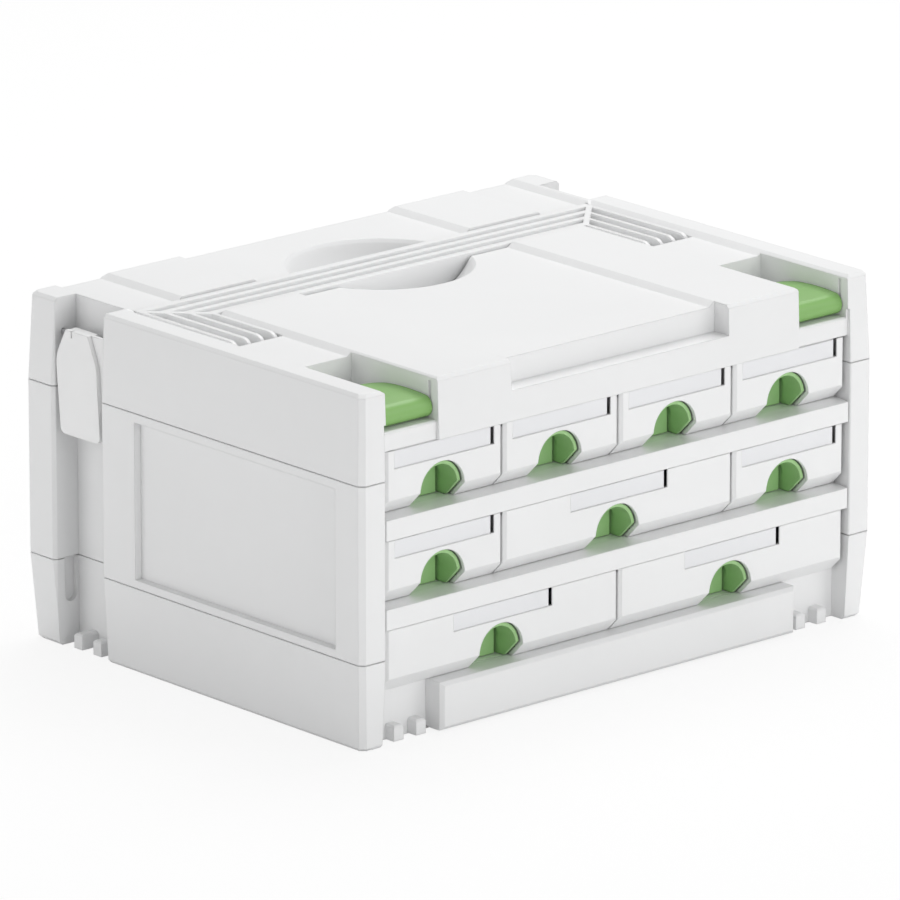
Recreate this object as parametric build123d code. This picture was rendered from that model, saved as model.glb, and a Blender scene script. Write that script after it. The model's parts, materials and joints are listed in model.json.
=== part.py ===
from build123d import *
import os

# Stackable three-row drawer organizer case.
# X is the width, -Y the front, Z up, and the origin is the bottom centre. Millimetres.

# Case envelope: base, housing and cover stack to the full height
case_width = 396.0
case_depth = 296.0
base_height = 52.5
cover_height = 52.5
corner_chamfer = 3.0
base_taper = 3.0
cover_taper = 2.0
rim_chamfer = 2.0
wall = 2.5
bottom_wall = 6.5
parting_gap = 0.6
parting_depth = 1.2
overrun = 5.0
pair_gap = 0.3
diagonal_share = 2 ** 0.5

# Front pillars, rear corner posts and the side channels between post and side panel
pillar_width = 18.0
pillar_depth = 18.0
pillar_chamfer = 0.6
post_length = 25.5
channel_length = 44.0
channel_depth = 17.7
post_chamfer = 2.0
side_skin = 7.0
side_pocket_wall = 5.5

# Sunk panel in each side of the housing, by its margins
panel_front_margin = 22.6
panel_rear_margin = 28.7
panel_bottom_margin = 5.1
panel_top_margin = 5.5
panel_depth = 4.6

# Drawer rows, counted from the bottom
row_names = ("bottom", "middle", "top")
row_spans = ((2, 2), (1, 2, 1), (1, 1, 1, 1))
row_pitch = 52.5
floor_drop = 22.5
bay_side_gap = 1.8
drawer_gap = 1.5
run_clearance = 0.3

# Shelves with their front rails and guide ribs
shelf_thickness = 2.5
rail_setback = 0.5
rail_height = 12.2
rail_drop = 0.8
rail_skin = 3.0
rail_end_chamfer = 0.8
guide_width = 0.8
guide_height = 5.0
guide_setback = 18.0
ledge_depth = 6.0
ledge_height = 3.0

# Drawer trays
drawer_setback = 2.5
drawer_rear_gap = 5.5
drawer_top_gap = 1.0
tray_drop = 2.5
tray_wall = 1.8
front_panel = 2.5
front_bevel = 9.3
front_edge = 1.8

# Label window in each drawer front, open at the top, with its card
card_left_margin = 6.2
card_right_margin = 6.4
card_height = 10.8
card_recess = 1.2
card_thickness = 0.5
card_slit = 1.9
card_lip = 0.8
card_pocket = 2.5

# Finger cup that is also the drawer's catch, and the alcove that it sits in
mouth_centre = 8.8
mouth_margin = 2.2
alcove_margin = 1.5
alcove_wall = 1.6
alcove_gap = 2.2
cup_gap = 1.0
cup_shift = 1.5
cup_raise = 0.5
cup_wall = 2.2
cup_setback = 2.8
cup_depth = 19.6
cup_floor_gap = 0.4
cup_lift = 3.0
cup_ear_root = 1.5
cup_ear_setback = 9.0
cup_ear_length = 6.0
cup_ear_bottom = 5.0
cup_ear_height = 3.0
cup_slit_width = 1.6
hinge_clearance = 0.08

# Base: plinth bar, coupling lugs and post slots
base_setback = 14.0
plinth_end_gap = 42.0
plinth_bottom = 1.5
plinth_chamfer = 2.2
lug_width = 7.4
lug_height = 9.0
lug_bottom = 0.5
lug_reach = 7.5
lug_chamfer = 1.2
lug_pitch = 16.8
lug_pillar_gap = 15.2
side_lug_pitch = 17.3
side_lug_post_gap = 13.5
side_lug_reach = 12.0
post_slot_width = 8.5
post_slot_inset = 11.7
post_slot_length = 27.0
post_slot_depth = 3.0
relief_side_margin = 73.0
relief_end_margin = 38.0
relief_height = 1.2
base_rib_width = 2.0

# Cover: raised lands, low fields, label notch and latch pockets
land_height = 3.0
land_setback = 5.1
land_bevel = 4.5
rail_width = 17.0
rim_ridge_width = 20.0
cover_skin = 3.0
band_chamfer = 1.2
notch_length = 14.0
notch_depth = 18.0
pocket_step = 2.4
pocket_width = 39.1
pocket_length = 75.5
pocket_depth = 25.0
sill_setback = 3.0
sill_gap = 0.4
sill_chamfer = 1.0
pocket_slot_width = 2.2
pocket_slot_depth = 1.2
pocket_slot_setback = 8.5
pocket_slot_drop = 14.0

# Carrying bail, its recess, finger bowl and pins
bail_rear_margin = 71.5
bail_depth = 36.0
bail_reach = 84.0
bail_drop = 1.3
bail_thickness = 11.0
bail_nose = 7.8
bail_groove_width = 5.5
bail_groove_depth = 4.0
bail_groove_pitch = 9.8
bail_groove_count = 3
bail_groove_margin = 4.6
bail_rib_width = 2.5
bail_rib_pitch = 9.8
bail_rib_count = 4
bail_side_gap = 1.0
bail_slot_margin = 8.6
bail_web = 2.5
bail_pin_radius = 2.0
bail_pin_seat = 2.0
bail_lip_half_width = 50.0
bail_lip_foot_half_width = 26.0
bail_lip_drop = 6.5
bail_lip_thickness = 3.0
recess_gap = 1.3
recess_close_gap = 0.6
recess_step = 2.5
recess_depth = 19.0
rest_pad_gap = 6.0
rest_pad_width = 36.0
bowl_rear_margin = 86.0
bowl_radius = 56.0
bowl_rim = 2.0
bowl_floor_radius = 30.0
bowl_depth = 22.0

# Front latches in the cover's pockets
latch_gap = 0.6
latch_setback = 12.0
latch_drop = 18.0
latch_knuckle = 6.3
latch_crown_rise = 6.6
latch_crown_length = 26.0
latch_length = 44.0
latch_rear_rise = 4.4
latch_thickness = 3.4
latch_corner = 14.0
latch_pin_radius = 1.2
latch_pin_seat = 1.6

# Rear side latches that hang in the channels
side_latch_axis_inset = 8.0
side_latch_axis_drop = 20.5
side_latch_face_inset = 1.0
side_latch_plate = 2.6
side_latch_drop = 16.2
side_latch_length = 62.8
side_latch_neck_front_gap = 13.5
side_latch_neck_rear_gap = 10.5
side_latch_neck_length = 17.2
side_latch_shoulder_front_gap = 6.1
side_latch_shoulder_rear_gap = 1.5
side_latch_foot_front_gap = 3.1
side_latch_foot_rear_gap = 5.5
side_latch_shoulder_round = 22.0
side_latch_round = 4.0
side_latch_nick_gap = 5.0
side_latch_nick_width = 1.0
side_latch_nick_depth = 4.0
side_latch_back_gap = 1.0
side_latch_back_plate = 2.4
side_latch_back_length = 45.0
side_latch_knuckle = 4.2
side_latch_pin_radius = 1.6
side_latch_pin_seat = 2.0

# Tie screws in the corners
screw_radius = 2.5
screw_clearance = 0.1
screw_head_radius = 4.5
screw_head_height = 3.2
screw_head_recess = 1.0
screw_top_cover = 25.0
screw_side_inset = 10.0
screw_front_inset = 9.0
screw_rear_inset = 12.5

# Worked out: the case
half_width = case_width / 2
half_depth = case_depth / 2
cover_base = base_height + (len(row_names) - 1) * row_pitch
case_height = cover_base + cover_height
bay_half = half_width - pillar_width
pillar_rear = pillar_depth - half_depth
channel_back = half_width - channel_depth
channel_rear = half_depth - post_length
channel_front = channel_rear - channel_length
rear_wall = half_depth - wall
base_front = base_setback - half_depth
panel_y = (panel_front_margin - half_depth, channel_front - panel_rear_margin)
panel_z = (base_height + panel_bottom_margin, cover_base - panel_top_margin)
sides = {"left": -1, "right": 1}

# Worked out: drawers, cups and cards
floors = [base_height - floor_drop + row * row_pitch for row in range(len(row_names))]
column_pitch = 2 * (bay_half - bay_side_gap) / sum(row_spans[0])
rail_front = rail_setback - half_depth
drawer_front = drawer_setback - half_depth
drawer_rear = rear_wall - drawer_rear_gap
drawer_height = row_pitch - rail_height - rail_drop - drawer_top_gap
tray_height = drawer_height - tray_drop
card_left = card_left_margin - (column_pitch - drawer_gap) / 2
card_right = (column_pitch - drawer_gap) / 2 - card_right_margin - card_slit
card_sill = drawer_height - card_height
mouth_radius = card_sill - mouth_margin - mouth_centre
alcove_radius = mouth_radius + alcove_margin
cup_radius = mouth_radius - cup_gap
cup_centre = mouth_centre + cup_raise
cup_back = drawer_front + cup_depth
cup_ear_front = drawer_front + cup_ear_setback
cup_ear_rear = cup_ear_front + cup_ear_length
cup_ear_top = cup_ear_bottom + cup_ear_height

# Worked out: the cover and what it carries
low_field = case_height - land_height
rail_inner = half_width - rail_width
rim_ridge = half_width - rim_ridge_width
pocket_outer = rail_inner - pocket_step
pocket_inner = pocket_outer - pocket_width
pocket_rear = pocket_length - half_depth
pocket_floor = case_height - pocket_depth
land_outer = pocket_inner - land_height / 2
land_inner = column_pitch - land_setback
notch_rear = notch_length - half_depth
notch_floor = case_height - notch_depth
sill_front = sill_setback - half_depth
sill_bottom = floors[-1] + drawer_height + sill_gap
pocket_slot_y = pocket_slot_setback - half_depth
pocket_slot_foot = case_height - pocket_slot_drop
recess_inner = pocket_inner + recess_step
recess_outer = rail_inner - land_bevel
recess_floor = case_height - recess_depth
bail_half_width = recess_outer - bail_side_gap
bail_rear = half_depth - bail_rear_margin
bail_front_rib = bail_rear - bail_depth
bail_middle = bail_rear - bail_depth / 2
bail_top = case_height - bail_drop
bail_bottom = bail_top - bail_thickness
bail_pivot_y = bail_rear - bail_reach
bail_pivot_z = bail_top - bail_nose
bowl_y = half_depth - bowl_rear_margin
bowl_floor = case_height - bowl_depth
latch_axis_y = latch_setback - half_depth
latch_axis_z = case_height - latch_drop
side_latch_axis_x = half_width - side_latch_axis_inset
side_latch_axis_z = case_height - side_latch_axis_drop
side_latch_face = half_width - side_latch_face_inset
side_latch_top = case_height - side_latch_drop
screw_thread_top = case_height - screw_top_cover
screw_x = half_width - screw_side_inset
screw_front_y = screw_front_inset - half_depth
screw_rear_y = half_depth - screw_rear_inset


def block(x_range, y_range, z_range):
    """Box between two opposite corners."""
    ranges = (x_range, y_range, z_range)
    sizes = [high - low for low, high in ranges]
    centre = [(high + low) / 2 for low, high in ranges]
    return Pos(*centre) * Box(*sizes)


def outward(side, near, far):
    """X range from near to far on the left (-1) or the right (1)."""
    return tuple(sorted((side * near, side * far)))


def prism_x(face, low, high):
    """Extrude a face drawn in Y and Z from one X to another."""
    return extrude(Plane.YZ.offset(low) * face, amount=high - low)


def prism_y(face, front, rear):
    """Extrude a face drawn in X and Z from one Y to another."""
    return extrude(Plane.XZ.offset(-rear) * face, amount=rear - front)


def prism_z(face, low, high):
    """Extrude a face drawn in X and Y from one Z to another."""
    return extrude(Pos(0, 0, low) * face, amount=high - low)


def polygon(*points):
    return make_face(Polyline(*points, close=True))


def rod_x(radius, low, high, y, z):
    """Round bar along X."""
    return prism_x(Pos(y, z) * Circle(radius), low, high)


def rod_y(radius, front, rear, x, z):
    """Round bar along Y."""
    return prism_y(Pos(x, z) * Circle(radius), front, rear)


def rod_z(radius, low, high, x, y):
    """Round bar along Z."""
    return prism_z(Pos(x, y) * Circle(radius), low, high)


def plan(inset):
    """Case outline with its corners cut, drawn smaller by inset."""
    sketch = Rectangle(case_width - 2 * inset, case_depth - 2 * inset)
    return chamfer(sketch.vertices(), corner_chamfer)


def tapered_block(*levels):
    """Case outline lofted through levels of height and inset."""
    sections = [Pos(0, 0, height) * plan(inset) for height, inset in levels]
    return loft(sections, ruled=True)


def channel_plan(side, grow):
    """Plan of a side channel, with the post's bevelled edge, grown by a wall."""
    back = side * (channel_back - grow)
    outer = side * (half_width + overrun)
    bevel_x = side * (half_width - post_chamfer)
    flare = post_chamfer + overrun
    front = channel_front - grow
    rear = channel_rear + grow
    return polygon(
        (back, front), (outer, front), (outer, rear + flare), (bevel_x, rear), (back, rear))


def channels(low, high, grow=0):
    """Both side channels as one cutting shape."""
    left, right = [prism_z(channel_plan(side, grow), low, high) for side in sides.values()]
    return left + right


def bay_plan(rear, grow=0):
    """Plan of the opening between the pillars, whose inner edges are bevelled."""
    inner = bay_half + grow
    flare = pillar_chamfer + overrun
    mouth = -half_depth - overrun
    start = -half_depth + pillar_chamfer
    return polygon(
        (-inner - flare, mouth), (inner + flare, mouth), (inner, start),
        (inner, rear), (-inner, rear), (-inner, start))


def inner_bay(front, low, high):
    """Clear room inside the walls, narrower where the channels run."""
    room = block((-bay_half, bay_half), (front, rear_wall), (low, high))
    return room - channels(low, high, grow=wall)


def side_pockets(inner, outer, low, high):
    """Hollows in the two thick side walls."""
    y_range = (pillar_rear + wall, channel_front - side_pocket_wall)
    left, right = [
        block(outward(side, inner, outer), y_range, (low, high)) for side in sides.values()]
    return left + right


def parting_groove(height):
    """Thin groove round the case where two mouldings meet."""
    band = block(
        (-half_width - overrun, half_width + overrun),
        (-half_depth - overrun, half_depth + overrun),
        (height - parting_gap / 2, height + parting_gap / 2))
    core_face = plan(parting_depth)
    core = prism_z(core_face, height - parting_gap, height + parting_gap)
    core -= channels(height - parting_gap, height + parting_gap, grow=parting_depth)
    core -= prism_z(
        bay_plan(pillar_rear, grow=parting_depth), height - parting_gap, height + parting_gap)
    inside = inner_bay(-half_depth - overrun, height - parting_gap, height + parting_gap)
    return band - core - inside


def screw_holes(low, high, radius):
    """Four corner holes for the tie screws."""
    return [
        rod_z(radius, low, high, side * screw_x, y)
        for side in sides.values() for y in (screw_front_y, screw_rear_y)]


def make_base():
    """Bottom tub with plinth bar, coupling lugs and ribs under the floor panel."""
    body = tapered_block((0, base_taper + rim_chamfer), (rim_chamfer, base_taper), (base_height, 0))
    body -= channels(-overrun, base_height + overrun)
    body -= prism_z(bay_plan(base_front), -overrun, base_height + overrun)
    tub_front = base_front + wall
    body -= inner_bay(tub_front, bottom_wall, base_height + overrun)
    mouth = (base_front - overrun, tub_front + overrun)
    body -= block((-bay_half, bay_half), mouth, (floors[0], base_height + overrun))
    pocket_outer_x = half_width - base_taper - wall
    body -= side_pockets(bay_half + wall, pocket_outer_x, bottom_wall, base_height + overrun)

    panel_under = floors[0] - shelf_thickness
    for rib_x in (-column_pitch, 0, column_pitch):
        rib_range = (rib_x - base_rib_width / 2, rib_x + base_rib_width / 2)
        body += block(rib_range, (tub_front, rear_wall), (bottom_wall, panel_under))
    for side in sides.values():
        ledge_x = outward(side, bay_half - ledge_depth, bay_half)
        ledge_y = (tub_front, channel_front - wall)
        body += block(ledge_x, ledge_y, (panel_under - ledge_height, panel_under))

    body += make_plinth()
    body += front_lugs()
    body += side_lugs()
    body -= post_slots()
    relief_x = half_width - relief_side_margin
    relief_y = half_depth - relief_end_margin
    body -= block((-relief_x, relief_x), (-relief_y, relief_y), (-overrun, relief_height))
    head_top = screw_head_recess + screw_head_height
    for hole in screw_holes(-overrun, base_height + overrun, screw_radius + screw_clearance):
        body -= hole
    for recess in screw_holes(-overrun, head_top, screw_head_radius + screw_clearance):
        body -= recess
    return body - parting_groove(base_height)


def make_plinth():
    """Bar along the foot of the front, with bevelled edges."""
    half = bay_half - plinth_end_gap
    bar = block(
        (-half, half), (-half_depth, base_front + wall / 2), (plinth_bottom, floors[0]))
    front_edges = bar.faces().sort_by(Axis.Y)[0].edges()
    return chamfer(front_edges, plinth_chamfer)


def lug(x_range, y_range):
    """One coupling lug."""
    body = block(x_range, y_range, (lug_bottom, lug_bottom + lug_height))
    return chamfer(body.edges().group_by(Axis.Z)[-1], lug_chamfer)


def front_lugs():
    """Pairs of lugs between the plinth and the pillars."""
    y_range = (base_front - lug_reach, base_front + wall / 2)
    pieces = []
    for side in sides.values():
        for number in range(2):
            centre = side * (bay_half - lug_pillar_gap - number * lug_pitch)
            pieces.append(lug((centre - lug_width / 2, centre + lug_width / 2), y_range))
    return pieces


def side_lugs():
    """Pairs of lugs at the foot of each side channel."""
    pieces = []
    for side in sides.values():
        x_range = outward(side, channel_back - wall / 2, channel_back + side_lug_reach)
        for number in range(2):
            place = channel_rear - side_lug_post_gap - number * side_lug_pitch
            pieces.append(lug(x_range, (place - lug_width / 2, place + lug_width / 2)))
    return pieces


def post_slots():
    """Round-ended grooves in the posts, facing the channels."""
    radius = post_slot_width / 2
    outline = SlotOverall(2 * post_slot_length, post_slot_width, rotation=90)
    cutters = []
    for side in sides.values():
        face = Pos(side * (half_width - post_slot_inset), base_height) * outline
        cutters.append(prism_y(face, channel_rear - radius, channel_rear + post_slot_depth))
    return cutters


def make_housing():
    """Middle ring of side and rear walls, with ledges for the two shelves."""
    body = prism_z(plan(0), base_height, cover_base)
    z_range = (base_height - overrun, cover_base + overrun)
    body -= channels(*z_range)
    body -= prism_z(bay_plan(pillar_rear), *z_range)
    body -= inner_bay(-half_depth, *z_range)
    skin_inner = half_width - side_skin
    body -= side_pockets(bay_half - overrun, skin_inner, *z_range)
    for side in sides.values():
        sunk_x = outward(side, half_width - panel_depth, half_width + overrun)
        body -= block(sunk_x, panel_y, panel_z)
    for floor in floors[1:]:
        body += shelf_ledges(floor - shelf_thickness, skin_inner)
    for hole in screw_holes(*z_range, screw_radius + screw_clearance):
        body -= hole
    return body - parting_groove(base_height) - parting_groove(cover_base)


def shelf_ledges(top, skin_inner):
    """Ledges under one shelf, on the side skins and the rear wall."""
    z_range = (top - ledge_height, top)
    y_range = (pillar_rear + wall, channel_front - side_pocket_wall)
    ledges = [
        block(outward(side, skin_inner - ledge_depth, skin_inner), y_range, z_range)
        for side in sides.values()]
    ledges.append(block((-column_pitch, column_pitch), (rear_wall - ledge_depth, rear_wall), z_range))
    return ledges


def field(x_range, y_range):
    """Shallow field sunk into the top, with sloping sides."""
    width = x_range[1] - x_range[0]
    depth = y_range[1] - y_range[0]
    centre = Pos(sum(x_range) / 2, sum(y_range) / 2, low_field)
    floor_face = centre * Rectangle(width - 2 * land_bevel, depth - 2 * land_bevel)
    mouth_face = Pos(0, 0, land_height) * centre * Rectangle(width, depth)
    return loft([floor_face, mouth_face], ruled=True)


def top_fields():
    """Fields between the raised lands: centre, rear and the four corners."""
    recess_rear = bail_recess_span()[1]
    past_rear = half_depth + overrun
    cutters = [
        field((-land_inner, land_inner), (-half_depth - overrun, recess_rear)),
        field((-land_inner, land_inner), (recess_rear - land_bevel, past_rear))]
    for side in sides.values():
        corner_x = outward(side, land_outer, rail_inner)
        cutters.append(field(corner_x, (-half_depth - overrun, recess_rear)))
        rear_x = outward(side, land_outer, rim_ridge)
        cutters.append(field(rear_x, (recess_rear - land_bevel, past_rear)))
    return cutters


def bail_recess_span():
    """Front and rear of the recess that the bail lies in."""
    return bail_pivot_y - bail_nose - recess_close_gap, bail_rear + recess_close_gap


def bail_recess(outer=recess_outer, grow=0):
    """U-shaped recess for the bail, grown by a wall for the shell's inside."""
    front, rear = bail_recess_span()
    z_range = (recess_floor - grow, case_height + overrun)
    crossbar_y = (bail_front_rib - recess_gap - grow, rear + grow)
    shape = block((-outer, outer), crossbar_y, z_range)
    for side in sides.values():
        arm_x = outward(side, recess_inner - grow, outer)
        shape += block(arm_x, (front - grow, rear + grow), z_range)
    return shape


def finger_bowl(grow=0):
    """Round bowl under the crossbar, for the fingers."""
    radius = bowl_radius + grow
    bottom = bowl_floor - grow
    rim_z = low_field - bowl_rim
    side_mid = ((radius - bowl_rim + bowl_floor_radius) / 2, (rim_z + bottom) / 2)
    bulge = (bowl_rim, -bowl_rim)
    wall_point = (side_mid[0] + bulge[0], side_mid[1] + bulge[1])
    outline = [
        Polyline((0, bottom), (0, case_height), (radius, case_height), (radius, low_field),
                 (radius - bowl_rim, rim_z)),
        ThreePointArc((radius - bowl_rim, rim_z), wall_point, (bowl_floor_radius, bottom)),
        Line((bowl_floor_radius, bottom), (0, bottom))]
    bowl = revolve(Plane.XZ * make_face(outline), Axis.Z)
    return Pos(0, bowl_y, 0) * bowl


def latch_pockets(grow=0):
    """Pockets in the two front top corners, open to the front and the top."""
    y_range = (-half_depth - overrun, pocket_rear + grow)
    z_range = (pocket_floor - grow, case_height + overrun)
    left, right = [
        block(outward(side, pocket_inner - grow, pocket_outer + grow), y_range, z_range)
        for side in sides.values()]
    return left + right


def label_notch(grow=0):
    """Wide notch in the front edge, between the two raised bands."""
    return block(
        (-land_inner - grow, land_inner + grow), (-half_depth - overrun, notch_rear + grow),
        (notch_floor - grow, case_height + overrun))


def sill_rooms(grow=0):
    """Room in front of the sills under the latch pockets."""
    y_range = (-half_depth - overrun, sill_front + grow)
    z_range = (cover_base - overrun, pocket_floor + overrun)
    return [
        block(outward(side, pocket_inner - grow, bay_half), y_range, z_range)
        for side in sides.values()]


def front_edges():
    """Bevels on the upright edges of the raised bands and on the sills' upper edges."""
    past = -half_depth - overrun
    top = case_height + overrun
    bevel_end = band_chamfer - half_depth
    flare = band_chamfer + overrun
    low_z = pocket_floor - sill_chamfer - overrun
    high_y = sill_front + sill_chamfer + overrun
    sill_wedge = polygon(
        (sill_front - overrun, low_z), (high_y, pocket_floor + overrun),
        (sill_front - overrun, pocket_floor + overrun))
    cutters = []
    for side in sides.values():
        outer = polygon(
            (side * (pocket_inner - flare), past), (side * pocket_inner, bevel_end),
            (side * pocket_inner, past))
        inner = polygon(
            (side * (land_inner + flare), past), (side * land_inner, bevel_end),
            (side * land_inner, past))
        cutters.append(prism_z(outer, cover_base - overrun, top))
        cutters.append(prism_z(inner, notch_floor, top))
        cutters.append(prism_x(sill_wedge, *outward(side, pocket_inner, pocket_outer)))
    return cutters


def cover_cavity():
    """Room under the cover's skin, clear of every pocket wall."""
    top = low_field - cover_skin
    low = cover_base - overrun
    room = inner_bay(-half_depth + wall, low, top)
    room -= latch_pockets(grow=wall)
    room -= label_notch(grow=wall)
    room -= bail_recess(outer=bay_half, grow=wall)
    room -= finger_bowl(grow=wall)
    for sill_room in sill_rooms(grow=wall):
        room -= sill_room
    pocket_outer_x = half_width - cover_taper - wall
    return room + side_pockets(bay_half + wall, pocket_outer_x, low, top)


def make_cover():
    """Top moulding with lands, bail recess, latch pockets and label notch."""
    rim_inset = cover_taper + rim_chamfer
    body = tapered_block(
        (cover_base, 0), (case_height - rim_chamfer, cover_taper), (case_height, rim_inset))
    body -= channels(cover_base - overrun, case_height + overrun)
    body -= prism_z(bay_plan(pillar_rear), cover_base - overrun, sill_bottom)
    body -= cover_cavity()
    for cutter in top_fields():
        body -= cutter
    body -= bail_recess()
    body -= finger_bowl()
    body -= latch_pockets()
    body -= label_notch()
    for cutter in sill_rooms() + front_edges():
        body -= cutter
    body += rest_pads()
    body -= bail_pin_holes()
    body -= latch_pin_seats()
    body -= side_latch_pin_seats()
    for hole in screw_holes(cover_base - overrun, screw_thread_top, screw_radius + screw_clearance):
        body -= hole
    return body - parting_groove(cover_base)


def rest_pads():
    """Pads that the crossbar rests on."""
    outer = land_outer - rest_pad_gap
    y_range = (bail_front_rib + wall, bail_rear - wall)
    z_range = (recess_floor, bail_bottom - run_clearance)
    return [
        block(outward(side, outer - rest_pad_width, outer), y_range, z_range) for side in sides.values()]


def bail_pin_span():
    """Inner and outer end of a bail pin."""
    return recess_inner - bail_pin_seat, recess_outer + bail_pin_seat


def bail_pin_holes():
    """Holes in the recess's walls for the bail's pins."""
    radius = bail_pin_radius + hinge_clearance
    return [
        rod_x(radius, *outward(side, *bail_pin_span()), bail_pivot_y, bail_pivot_z)
        for side in sides.values()]


def latch_pin_span():
    """Inner and outer end of a front latch pin."""
    return pocket_inner - latch_pin_seat, pocket_outer + latch_pin_seat


def latch_pin_seats():
    """Blind holes for the latch pins, and snap slots in the pocket walls."""
    cutters = []
    for side in sides.values():
        span = outward(side, *latch_pin_span())
        cutters.append(rod_x(latch_pin_radius + hinge_clearance, *span, latch_axis_y, latch_axis_z))
        slot_x = outward(side, pocket_inner - pocket_slot_depth, pocket_outer + pocket_slot_depth)
        slot_y = (pocket_slot_y - pocket_slot_width / 2, pocket_slot_y + pocket_slot_width / 2)
        cutters.append(block(slot_x, slot_y, (pocket_slot_foot, low_field)))
    return cutters


def side_latch_pin_span():
    """Front and rear end of a side latch pin."""
    return channel_front - side_latch_pin_seat, channel_rear + side_latch_pin_seat


def side_latch_pin_seats():
    """Blind holes for the side latch pins in the channel walls."""
    radius = side_latch_pin_radius + hinge_clearance
    return [
        rod_y(radius, *side_latch_pin_span(), side * side_latch_axis_x, side_latch_axis_z)
        for side in sides.values()]


def make_shelf(row):
    """Shelf under a drawer row, with its front rail and guide ribs."""
    floor = floors[row]
    under = floor - shelf_thickness
    bay_edge = bay_half - pair_gap
    skin_edge = half_width - side_skin - pair_gap
    wing_y = (pillar_rear + wall + pair_gap, channel_front - side_pocket_wall - pair_gap)
    plate = block((-bay_edge, bay_edge), (base_front, rear_wall - pair_gap), (under, floor))
    plate += block((-skin_edge, skin_edge), wing_y, (under, floor))
    plate -= channels(under - overrun, floor + overrun, grow=wall + pair_gap)
    plate += make_rail(floor)
    for rib in guide_ribs(row, floor):
        plate += rib
    return plate


def make_rail(floor):
    """Front rail of a shelf: a lip with a gently falling top and bevelled ends."""
    half = bay_half - pair_gap
    front_top = floor - rail_drop
    low = front_top - rail_height
    under = floor - shelf_thickness
    section = polygon(
        (rail_front, low), (rail_front, front_top), (base_front, floor), (base_front, under),
        (rail_front + rail_skin, under - rail_drop), (rail_front + rail_skin, low))
    rail = prism_x(section, -half, half)
    end_cut = polygon(
        (half, rail_front - overrun), (half + overrun, rail_front - overrun),
        (half + overrun, rail_front + rail_skin), (half, rail_front + rail_skin),
        (half - rail_end_chamfer, rail_front), (half - rail_end_chamfer, rail_front - overrun))
    cutter = prism_z(end_cut, low - overrun, floor + overrun)
    return rail - cutter - mirror(cutter, Plane.YZ)


def column_edges(row):
    """X places between neighbouring drawers of a row."""
    place = -column_pitch * sum(row_spans[row]) / 2
    edges = []
    for span in row_spans[row][:-1]:
        place += span * column_pitch
        edges.append(place)
    return edges


def guide_ribs(row, floor):
    """Low ribs that keep neighbouring drawers apart."""
    return [
        block((edge - guide_width / 2, edge + guide_width / 2),
              (drawer_front + guide_setback, drawer_rear),
              (floor - shelf_thickness, floor + guide_height))
        for edge in column_edges(row)]


def make_floor_panel():
    """Plate that the bottom drawers run on, laid on the base's ribs."""
    floor = floors[0]
    under = floor - shelf_thickness
    plate = block(
        (-bay_half + pair_gap, bay_half - pair_gap),
        (base_front + wall + pair_gap, rear_wall - pair_gap), (under, floor))
    plate -= channels(under - overrun, floor + overrun, grow=wall + pair_gap)
    for rib in guide_ribs(0, floor):
        plate += rib
    return plate


def arch(radius, centre_z, bottom):
    """Round-topped outline with straight sides, drawn in X and Z."""
    sides_line = Polyline((-radius, centre_z), (-radius, bottom), (radius, bottom), (radius, centre_z))
    crown = ThreePointArc((radius, centre_z), (0, centre_z + radius), (-radius, centre_z))
    return make_face([sides_line, crown])


def tray_outline(floor, inset_front, inset_bottom, inset_rear):
    """Side view of a drawer: bevelled foot, upright front, square rear."""
    bottom = floor + run_clearance
    bevel_sum = drawer_front + front_bevel + bottom + inset_front * diagonal_share
    front = drawer_front + inset_front
    low = bottom + inset_bottom
    top = floor + drawer_height
    rear = drawer_rear - inset_rear
    return polygon(
        (bevel_sum - low, low), (front, bevel_sum - front), (front, top), (rear, top), (rear, low))


def make_drawer(floor, centre, span):
    """Drawer tray with label window, cup alcove and slots for the cup's ears."""
    half = (span * column_pitch - drawer_gap) / 2
    body = prism_x(tray_outline(floor, 0, 0, 0), -half, half)
    front_face = body.faces().sort_by(Axis.Y)[0]
    body = chamfer(front_face.edges().filter_by(Axis.Z), front_edge)
    inner_half = half - tray_wall
    body -= prism_x(tray_outline(floor, front_panel, tray_wall, tray_wall), -inner_half, inner_half)
    top = floor + drawer_height
    body -= block(
        (-half - overrun, half + overrun), (drawer_front + front_panel, drawer_rear + overrun),
        (floor + tray_height, top + overrun))
    shell = alcove_shell(floor) - prism_x(tray_foot(floor, 0), -column_pitch, column_pitch)
    mouth = arch(mouth_radius, floor + mouth_centre, floor - overrun)
    room = alcove_room(floor) + prism_y(mouth, drawer_front - overrun, cup_back)
    body += Pos(-cup_shift, 0, 0) * shell
    body -= Pos(-cup_shift, 0, 0) * room
    body -= label_window(floor)
    return Pos(centre, 0, 0) * body


def alcove_shell(floor):
    """Housing behind the drawer front, tall enough for the cup to lift."""
    outline = arch(
        alcove_radius + alcove_wall, floor + mouth_centre + cup_lift, floor + run_clearance)
    rear = cup_back + cup_wall + alcove_gap + alcove_wall
    return prism_y(outline, drawer_front + front_panel, rear)


def alcove_room(floor):
    """Space that the cup slides in, with side slots for its ears."""
    front = drawer_front + front_panel
    rear = cup_back + cup_wall + alcove_gap
    room = prism_y(arch(alcove_radius, floor + mouth_centre + cup_lift, floor - overrun), front, rear)
    room -= prism_x(tray_foot(floor, front_panel), -column_pitch, column_pitch)
    reach = alcove_radius + alcove_wall + overrun
    ears = block(
        (-reach, reach), (cup_ear_front - pair_gap, cup_ear_rear + pair_gap),
        (floor + cup_ear_bottom - pair_gap, floor + cup_ear_top + cup_lift + pair_gap))
    return room + ears


def tray_foot(floor, inset):
    """Wedge in front of the bevelled foot, moved back by inset."""
    bottom = floor - overrun
    front = drawer_front - overrun
    line = drawer_front + front_bevel + floor + run_clearance + inset * diagonal_share
    return polygon((line - bottom, bottom), (front, bottom), (front, line - front))


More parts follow.
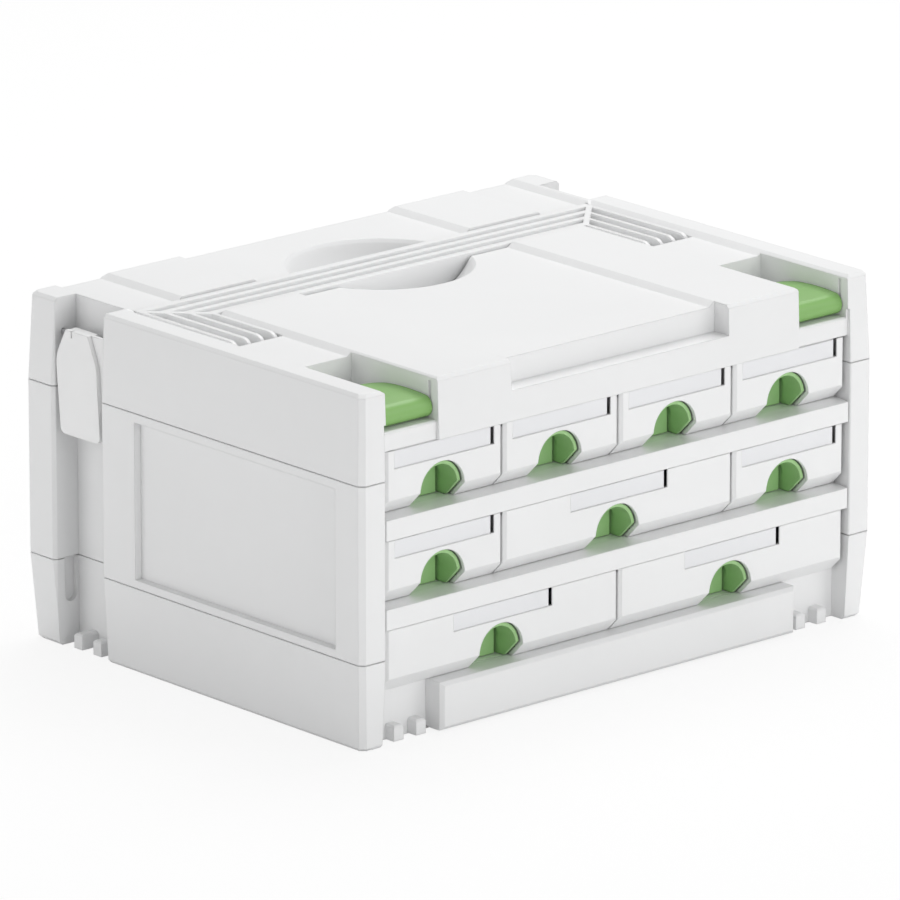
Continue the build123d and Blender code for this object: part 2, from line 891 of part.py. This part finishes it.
def label_window(floor):
    """Sunk window for the card, with an undercut slit at its right-hand end."""
    z_range = (floor + card_sill, floor + drawer_height + overrun)
    front = drawer_front - overrun
    rear = drawer_front + front_panel + overrun
    slit_end = card_right + card_slit
    window = block((card_left, card_right), (front, drawer_front + card_recess), z_range)
    slit = block((card_right, slit_end), (front, rear), z_range)
    undercut = block((slit_end, slit_end + card_pocket), (drawer_front + card_lip, rear), z_range)
    return window + slit + undercut


def make_card(floor, centre):
    """Label card at the back of the window."""
    back = drawer_front + card_recess
    return block(
        (centre + card_left + pair_gap, centre + card_right - pair_gap), (back - card_thickness, back),
        (floor + card_sill, floor + drawer_height - pair_gap))


def make_catch(floor, centre):
    """Green finger cup that lifts in its alcove, open to the front and below."""
    front = drawer_front + cup_setback
    bottom = floor + cup_floor_gap
    centre_z = floor + cup_centre
    inner = cup_radius - cup_wall
    ear_y = (cup_ear_front, cup_ear_rear)
    ear_z = (floor + cup_ear_bottom, floor + cup_ear_top)
    ear_end = alcove_radius + alcove_wall - pair_gap
    slit_y = (cup_back - cup_slit_width, cup_back + overrun)
    cup = prism_y(arch(cup_radius, centre_z, bottom), front, cup_back + cup_wall)
    cup -= prism_y(arch(inner, centre_z, floor - overrun), front - overrun, cup_back)
    cup -= prism_x(tray_foot(floor, cup_setback), -column_pitch, column_pitch)
    for side in sides.values():
        cup += block(outward(side, cup_radius - cup_ear_root, ear_end), ear_y, ear_z)
        cup -= block(outward(side, inner - cup_slit_width, inner), slit_y, (floor, centre_z + inner / 2))
    return Pos(centre - cup_shift, 0, 0) * cup


def make_bail():
    """U-shaped carrying bail with grooved crossbar, grip lip and ribbed arms."""
    z_range = (bail_bottom, bail_top)
    body = block((-bail_half_width, bail_half_width), (bail_front_rib, bail_rear), z_range)
    rib_inner = bail_half_width - bail_rib_width - (bail_rib_count - 1) * bail_rib_pitch
    arm = prism_x(bail_arm_outline(), rib_inner, bail_half_width)
    body += arm
    body += mirror(arm, Plane.YZ)
    body += bail_lip()
    for slot in bail_slots():
        body -= slot
        body -= mirror(slot, Plane.YZ)
    for groove in bail_grooves():
        body -= groove
    reach = bail_half_width + overrun
    return body - rod_x(bail_pin_radius + hinge_clearance, -reach, reach, bail_pivot_y, bail_pivot_z)


def bail_arm_outline():
    """Side view of an arm: flat underside, top rounded over at the pivot."""
    drop = bail_thickness - bail_nose
    foot = (bail_pivot_y - (bail_nose ** 2 - drop ** 2) ** 0.5, bail_bottom)
    crown = (bail_pivot_y, bail_top)
    arc = ThreePointArc(foot, (bail_pivot_y - bail_nose, bail_pivot_z), crown)
    rest = Polyline(crown, (bail_rear, bail_top), (bail_rear, bail_bottom), foot)
    return make_face([arc, rest])


def bail_lip():
    """Tapering lip under the crossbar's front edge, for the fingers to pull on."""
    foot = bail_bottom - bail_lip_drop
    outline = polygon(
        (-bail_lip_half_width, bail_bottom), (-bail_lip_foot_half_width, foot),
        (bail_lip_foot_half_width, foot), (bail_lip_half_width, bail_bottom))
    return prism_y(outline, bail_front_rib, bail_front_rib + bail_lip_thickness)


def bail_slots():
    """Mitred slots between the ribs of the right arm."""
    front = bail_pivot_y - bail_nose - overrun
    mitre = bail_half_width - bail_rib_width - bail_rear + bail_slot_margin
    slots = []
    for index in range(bail_rib_count - 1):
        outer = bail_half_width - bail_rib_width - index * bail_rib_pitch
        inner = outer - (bail_rib_pitch - bail_rib_width)
        face = polygon((inner, front), (outer, front), (outer, outer - mitre), (inner, inner - mitre))
        slots.append(prism_z(face, bail_bottom + bail_web, bail_top + overrun))
    return slots


def bail_grooves():
    """Mitred grooves along the crossbar."""
    last = bail_middle + (bail_groove_count - 1) / 2 * bail_groove_pitch + bail_groove_width / 2
    mitre = bail_half_width - bail_groove_margin - last
    grooves = []
    for index in range(bail_groove_count):
        rear = last - index * bail_groove_pitch
        front = rear - bail_groove_width
        face = polygon(
            (front + mitre, front), (rear + mitre, rear), (-rear - mitre, rear), (-front - mitre, front))
        grooves.append(prism_z(face, bail_top - bail_groove_depth, bail_top + overrun))
    return grooves


def make_bail_pins():
    """Two pins that the bail turns on."""
    inner, outer = bail_pin_span()
    return [
        rod_x(bail_pin_radius, *outward(side, inner, outer), bail_pivot_y, bail_pivot_z)
        for side in sides.values()]


def make_front_latch(side):
    """Front latch: curved paddle with a round knuckle at its front edge."""
    axis = (latch_axis_y, latch_axis_z)
    knuckle_top = (latch_axis_y, latch_axis_z + latch_knuckle)
    heel = (latch_axis_y + latch_knuckle, latch_axis_z)
    rear_y = latch_axis_y + latch_length
    crown = (latch_axis_y + latch_crown_length, latch_axis_z + latch_crown_rise)
    rear_top = (rear_y, latch_axis_z + latch_rear_rise)
    rear_low = (rear_y, latch_axis_z + latch_rear_rise - latch_thickness)
    under = (crown[0], crown[1] - latch_thickness)
    outline = make_face([
        ThreePointArc(knuckle_top, crown, rear_top), Line(rear_top, rear_low),
        ThreePointArc(rear_low, under, heel), Polyline(heel, axis, knuckle_top)])
    span = outward(side, pocket_inner + latch_gap, pocket_outer - latch_gap)
    body = prism_x(outline, *span) + rod_x(latch_knuckle, *span, *axis)
    paddle_plan = block(
        span, (latch_axis_y - latch_knuckle - overrun, rear_y),
        (latch_axis_z - 2 * latch_knuckle, crown[1] + overrun))
    rear_edges = paddle_plan.edges().filter_by(Axis.Z).group_by(Axis.Y)[-1]
    body &= fillet(rear_edges, latch_corner)
    return body - rod_x(latch_pin_radius + hinge_clearance, *outward(side, *latch_pin_span()), *axis)


def make_latch_pins():
    """Two pins that the front latches turn on."""
    return [
        rod_x(latch_pin_radius, *outward(side, *latch_pin_span()), latch_axis_y, latch_axis_z)
        for side in sides.values()]


def side_latch_outline():
    """Paddle seen from the side: narrow neck, rounded shoulders and a tapering foot."""
    bottom = side_latch_top - side_latch_length
    shoulder = side_latch_top - side_latch_neck_length
    neck = [
        (channel_front + side_latch_neck_front_gap, side_latch_top),
        (channel_rear - side_latch_neck_rear_gap, side_latch_top)]
    shoulders = [
        (channel_rear - side_latch_shoulder_rear_gap, shoulder),
        (channel_front + side_latch_shoulder_front_gap, shoulder)]
    foot = [
        (channel_rear - side_latch_foot_rear_gap, bottom),
        (channel_front + side_latch_foot_front_gap, bottom)]
    face = polygon(*neck, shoulders[0], *foot, shoulders[1])
    rows = face.vertices().group_by(Axis.Y)
    face = fillet(rows[0], side_latch_round)
    rows = face.vertices().filter_by(lambda vertex: abs(vertex.Y - shoulder) < wall)
    return fillet(rows, side_latch_shoulder_round)


def make_side_latch(side):
    """Side latch: hanging paddle, a back plate that shows at its front and a hinge knuckle."""
    inner = side_latch_face - side_latch_plate
    body = prism_x(side_latch_outline(), *outward(side, inner, side_latch_face))
    nick_rear = channel_rear - side_latch_neck_rear_gap - side_latch_nick_gap
    body -= block(
        outward(side, inner, side_latch_face + overrun), (nick_rear - side_latch_nick_width, nick_rear),
        (side_latch_top - side_latch_nick_depth, side_latch_top + overrun))
    back_x = outward(side, inner - side_latch_back_plate, inner)
    neck_y = (channel_front + side_latch_neck_front_gap, channel_rear - side_latch_neck_rear_gap)
    back_y = (channel_front + side_latch_back_gap, neck_y[1] - side_latch_back_gap)
    body += block(back_x, back_y, (side_latch_top - side_latch_back_length, side_latch_top))
    axis = (side * side_latch_axis_x, side_latch_axis_z)
    body += rod_y(side_latch_knuckle, *neck_y, *axis)
    return body - rod_y(side_latch_pin_radius + hinge_clearance, *side_latch_pin_span(), *axis)


def make_side_latch_pins():
    """Two pins that the side latches turn on."""
    span = side_latch_pin_span()
    return [
        rod_y(side_latch_pin_radius, *span, side * side_latch_axis_x, side_latch_axis_z)
        for side in sides.values()]


def make_screws():
    """Four tie screws that hold the mouldings together."""
    head_top = screw_head_recess + screw_head_height
    shanks = screw_holes(screw_head_recess, screw_thread_top, screw_radius)
    heads = screw_holes(screw_head_recess, head_top, screw_head_radius)
    return [shank + head for shank, head in zip(shanks, heads)]


def build_nodes():
    """Every piece of the case by its node name."""
    nodes = {
        "base": make_base(),
        "floor_panel": make_floor_panel(),
        "housing": make_housing(),
        "cover": make_cover(),
        "lower_shelf": make_shelf(1),
        "upper_shelf": make_shelf(2),
        "carry_bail": make_bail(),
        "bail_pins": Compound(children=make_bail_pins()),
        "front_latch_pins": Compound(children=make_latch_pins()),
        "side_latch_pins": Compound(children=make_side_latch_pins()),
        "tie_screws": Compound(children=make_screws())}
    for name, side in sides.items():
        nodes[f"front_latch_{name}"] = make_front_latch(side)
        nodes[f"side_latch_{name}"] = make_side_latch(side)
    for row, row_name in enumerate(row_names):
        start = -column_pitch * sum(row_spans[row]) / 2
        for number, span in enumerate(row_spans[row], 1):
            centre = start + span * column_pitch / 2
            start += span * column_pitch
            nodes[f"drawer_{row_name}_{number}"] = make_drawer(floors[row], centre, span)
            nodes[f"catch_{row_name}_{number}"] = make_catch(floors[row], centre)
            nodes[f"label_card_{row_name}_{number}"] = make_card(floors[row], centre)
    return nodes


os.makedirs("parts", exist_ok=True)
for node_name, shape in build_nodes().items():
    export_step(shape, f"parts/{node_name}.step")
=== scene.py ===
import json
import math

import bpy
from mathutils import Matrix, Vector


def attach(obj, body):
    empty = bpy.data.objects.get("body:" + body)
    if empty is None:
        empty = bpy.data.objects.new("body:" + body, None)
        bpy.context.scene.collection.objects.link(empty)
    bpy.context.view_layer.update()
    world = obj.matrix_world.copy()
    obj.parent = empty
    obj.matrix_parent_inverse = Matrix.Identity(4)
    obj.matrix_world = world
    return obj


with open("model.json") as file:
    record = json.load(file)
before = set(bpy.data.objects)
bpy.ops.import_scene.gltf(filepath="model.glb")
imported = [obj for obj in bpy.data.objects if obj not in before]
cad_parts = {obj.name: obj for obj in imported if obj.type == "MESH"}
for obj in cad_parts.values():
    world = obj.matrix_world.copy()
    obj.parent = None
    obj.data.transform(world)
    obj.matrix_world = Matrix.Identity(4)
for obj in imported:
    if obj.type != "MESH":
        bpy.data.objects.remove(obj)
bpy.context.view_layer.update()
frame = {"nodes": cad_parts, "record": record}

# Photograph's camera, found by fitting the case's corners
camera_azimuth = -41.613
camera_elevation = 16.660
camera_distance = 5.86445
camera_focal_px = 10067.2
camera_aim = Vector((0.0, 0.0, 0.105))
camera_aim_right = -0.00028
camera_aim_up = 0.0022747
image_px = 900
sensor_mm = 36.0
camera_reach = 100.0

# Linear colours of the plastics, the cards and the steel
white_case = (0.805, 0.808, 0.810)
white_drawer = (0.815, 0.818, 0.820)
white_latch = (0.840, 0.842, 0.842)
green_plastic = (0.222, 0.434, 0.128)
# Lighter copy of the latch green for the finger cups: painted light that brightens the shade
# inside their recesses
green_cup_painted_light = (0.340, 0.572, 0.250)
card_white = (0.775, 0.780, 0.795)
steel_grey = (0.560, 0.560, 0.570)

# How rough each surface is
case_roughness = 0.46
bail_roughness = 0.42
shelf_roughness = 0.16
latch_roughness = 0.38
green_roughness = 0.40
cup_roughness = 0.36
drawer_roughness = 0.38
card_roughness = 0.60
steel_roughness = 0.32
floor_roughness = 0.90

# Grain and mottle in features per metre, depths and reaches in metres
grain_scale = 900.0
grain_detail = 2.0
grain_strength = 0.35
mottle_scale = 9.0
mottle_detail = 4.0
grain_depth = 0.00004
tone_share = 0.035
edge_round = 0.0010
bail_glow_share = 0.6
bail_glow_reach = 0.004

# Strip that closes the low slit in the base's tapered back wall
strip_half_length = 0.1805
strip_low = 0.0060
strip_high = 0.0110
strip_back_low = 0.14526
strip_back_high = 0.14556
strip_depth = 0.0010

# Stage
floor_half = 14.0
floor_tone = 0.93
floor_glow_share = 0.84
world_strength = 0.43
lamps = {
    "key": {"place": (1.6, -2.2, 1.3), "size": 1.6, "watts": 14.0},
    "front": {"place": (-0.3, -2.8, 0.55), "size": 1.2, "watts": 19.0},
    "side": {"place": (-2.2, 0.9, 0.8), "size": 1.6, "watts": 12.5},
    "top": {"place": (1.0, 0.6, 2.4), "size": 2.0, "watts": 45.5}}


def node(tree, kind, **inputs):
    """New shader node with some of its inputs set."""
    made = tree.nodes.new(kind)
    for name, value in inputs.items():
        made.inputs[name.replace("_", " ")].default_value = value
    return made


def plastic(name, colour, roughness):
    """Moulded plastic with a fine grain, a faint mottle and softened edges."""
    material = bpy.data.materials.new(name)
    material.use_nodes = True
    tree = material.node_tree
    shader = tree.nodes["Principled BSDF"]
    place = tree.nodes.new("ShaderNodeTexCoord")
    link = tree.links.new

    mottle = node(tree, "ShaderNodeTexNoise", Scale=mottle_scale, Detail=mottle_detail)
    link(place.outputs["Object"], mottle.inputs["Vector"])
    ramp = tree.nodes.new("ShaderNodeValToRGB")
    dark = [channel * (1 - tone_share) for channel in colour]
    light = [min(1.0, channel * (1 + tone_share)) for channel in colour]
    ramp.color_ramp.elements[0].color = (*dark, 1)
    ramp.color_ramp.elements[1].color = (*light, 1)
    link(mottle.outputs["Fac"], ramp.inputs["Fac"])
    link(ramp.outputs["Color"], shader.inputs["Base Color"])

    fine = node(tree, "ShaderNodeTexNoise", Scale=grain_scale, Detail=grain_detail)
    link(place.outputs["Object"], fine.inputs["Vector"])
    edge = node(tree, "ShaderNodeBevel", Radius=edge_round)
    bump = node(tree, "ShaderNodeBump", Strength=grain_strength, Distance=grain_depth)
    link(fine.outputs["Fac"], bump.inputs["Height"])
    link(edge.outputs["Normal"], bump.inputs["Normal"])
    link(bump.outputs["Normal"], shader.inputs["Normal"])
    shader.inputs["Roughness"].default_value = roughness
    return material


def brushed_steel(name):
    """Bright steel for the pins and screws, with the plastics' fine grain."""
    material = plastic(name, steel_grey, steel_roughness)
    material.node_tree.nodes["Principled BSDF"].inputs["Metallic"].default_value = 1.0
    return material


def soft_plastic(name, colour, roughness):
    """Plastic that lets some light through, which fills the bail's fine grooves."""
    material = plastic(name, colour, roughness)
    shader = material.node_tree.nodes["Principled BSDF"]
    shader.inputs["Subsurface Weight"].default_value = bail_glow_share
    shader.inputs["Subsurface Radius"].default_value = (1, 1, 1)
    shader.inputs["Subsurface Scale"].default_value = bail_glow_reach
    return material


def dress_nodes():
    """Give every CAD piece the material of its slot, and the cups a lighter copy of the green as
    painted light in their shaded recesses.
    """
    looks = {
        "case_plastic": plastic("case_plastic_look", white_case, case_roughness),
        "bail_plastic": soft_plastic("bail_plastic_look", white_case, bail_roughness),
        "shelf_plastic": plastic("shelf_plastic_look", white_drawer, shelf_roughness),
        "side_latch_plastic": plastic("side_latch_look", white_latch, latch_roughness),
        "green_plastic": plastic("green_plastic_look", green_plastic, green_roughness),
        "drawer_plastic": plastic("drawer_plastic_look", white_drawer, drawer_roughness),
        "card": plastic("card_look", card_white, card_roughness),
        "steel": brushed_steel("steel_look")}
    # Cups use the lighter green: painted light standing in for light that their recesses do not
    # get
    cup_painted_light_look = plastic("cup_painted_light_look", green_cup_painted_light, cup_roughness)
    slots = {part["node"]: part["material_slot"] for part in frame["record"]["subparts"]}
    for name, piece in frame["nodes"].items():
        look = cup_painted_light_look if name.startswith("catch_") else looks[slots[name]]
        piece.data.materials.clear()
        piece.data.materials.append(look)
    close_base(looks["case_plastic"])


def close_base(look):
    """Thin strip over the slit, on the wall's slope."""
    inner_low = strip_back_low - strip_depth
    inner_high = strip_back_high - strip_depth
    corners = []
    for x in (-strip_half_length, strip_half_length):
        corners += [(x, strip_back_low, strip_low), (x, strip_back_high, strip_high)]
        corners += [(x, inner_high, strip_high), (x, inner_low, strip_low)]
    faces = [(3, 2, 1, 0), (4, 5, 6, 7), (0, 1, 5, 4), (1, 2, 6, 5), (2, 3, 7, 6), (3, 0, 4, 7)]
    mesh = bpy.data.meshes.new("base_back_strip")
    mesh.from_pydata(corners, [], faces)
    mesh.materials.append(look)
    strip = bpy.data.objects.new("base_back_strip", mesh)
    bpy.context.scene.collection.objects.link(strip)
    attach(strip, "case")


def camera_axes():
    """Unit vectors to the camera's back, right and up."""
    azimuth = math.radians(camera_azimuth)
    elevation = math.radians(camera_elevation)
    back = Vector((
        math.sin(azimuth) * math.cos(elevation), -math.cos(azimuth) * math.cos(elevation),
        math.sin(elevation)))
    right = Vector((math.cos(azimuth), math.sin(azimuth), 0))
    return back, right, back.cross(right)


def add_camera():
    """Camera at the photograph's angle and framing."""
    back, right, up = camera_axes()
    data = bpy.data.cameras.new("camera")
    data.sensor_width = sensor_mm
    data.lens = camera_focal_px / image_px * sensor_mm
    data.clip_end = camera_reach
    camera = bpy.data.objects.new("camera", data)
    aim = camera_aim + right * camera_aim_right + up * camera_aim_up
    camera.location = aim + back * camera_distance
    camera.rotation_euler = (-back).to_track_quat("-Z", "Y").to_euler()
    bpy.context.scene.collection.objects.link(camera)
    bpy.context.scene.camera = camera


def add_floor():
    """Pale floor that stays near white and keeps the case's soft shadow."""
    bpy.ops.mesh.primitive_plane_add(size=2 * floor_half)
    floor = bpy.context.object
    floor.name = "floor"
    material = bpy.data.materials.new("floor_look")
    material.use_nodes = True
    tree = material.node_tree
    shader = tree.nodes["Principled BSDF"]
    shader.inputs["Base Color"].default_value = (floor_tone, floor_tone, floor_tone, 1)
    shader.inputs["Roughness"].default_value = floor_roughness
    shader.inputs["Specular IOR Level"].default_value = 0.0
    glow = node(tree, "ShaderNodeEmission", Strength=1.0)
    path = tree.nodes.new("ShaderNodeLightPath")
    share = tree.nodes.new("ShaderNodeMath")
    share.operation = "MULTIPLY"
    share.inputs[1].default_value = floor_glow_share
    mix = tree.nodes.new("ShaderNodeMixShader")
    output = tree.nodes["Material Output"]
    tree.links.new(path.outputs["Is Camera Ray"], share.inputs[0])
    tree.links.new(share.outputs[0], mix.inputs[0])
    tree.links.new(shader.outputs[0], mix.inputs[1])
    tree.links.new(glow.outputs[0], mix.inputs[2])
    tree.links.new(mix.outputs[0], output.inputs["Surface"])
    floor.data.materials.append(material)


def add_area(name, place, size, watts):
    """Square soft light that faces the case."""
    data = bpy.data.lights.new(name, "AREA")
    data.size = size
    data.energy = watts
    lamp = bpy.data.objects.new(name, data)
    lamp.location = place
    aim = camera_aim - Vector(place)
    lamp.rotation_euler = aim.to_track_quat("-Z", "Y").to_euler()
    bpy.context.scene.collection.objects.link(lamp)


def add_light():
    """Soft studio light: even surroundings, a key, weaker front and side lights and one above."""
    world = bpy.data.worlds.new("studio")
    world.use_nodes = True
    background = world.node_tree.nodes["Background"]
    background.inputs["Color"].default_value = (1, 1, 1, 1)
    background.inputs["Strength"].default_value = world_strength
    bpy.context.scene.world = world
    for name, lamp in lamps.items():
        add_area(name, **lamp)


dress_nodes()
add_floor()
add_light()
add_camera()
bpy.context.scene.view_settings.view_transform = "Standard"
